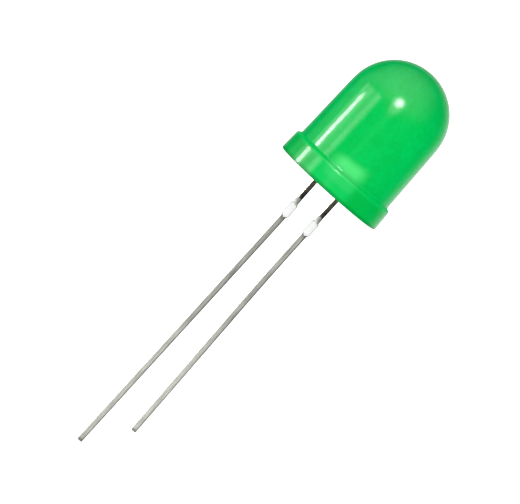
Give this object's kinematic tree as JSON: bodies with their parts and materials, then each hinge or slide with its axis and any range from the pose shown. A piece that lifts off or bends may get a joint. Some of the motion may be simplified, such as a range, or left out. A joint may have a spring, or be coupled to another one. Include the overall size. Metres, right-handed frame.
{
  "type": "through hole led",
  "caption": "Round light emitting diode with a diffused green domed resin body, a foot flange and two straight leads for a circuit board.",
  "frame": {"origin": "centre of the flange's flat underside rim, midway between the two leads, on the optical axis", "axes": "+Z along the optical axis towards the dome, the leads run along -Z in the plane y = 0, the long lead on the -X side and the short lead on the +X side"},
  "size_m": [0.011, 0.011, 0.0449],
  "materials": {
    "diffused_resin": "glossy moulded epoxy, dyed green and milky enough to hide the die",
    "tinned_lead": "plated steel, bright above the stubs and satin solder dipped below them",
    "die": "sawn semiconductor, dark yellow green",
    "silver_adhesive": "cured silver filled adhesive, dull",
    "gold_wire": "drawn gold, bright"
  },
  "bodies": {
    "root": {"lens_body": "diffused_resin", "anode_lead": "tinned_lead", "cathode_lead": "tinned_lead", "led_chip": "die", "die_attach": "silver_adhesive", "bond_wire": "gold_wire"}
  },
  "joints": []
}
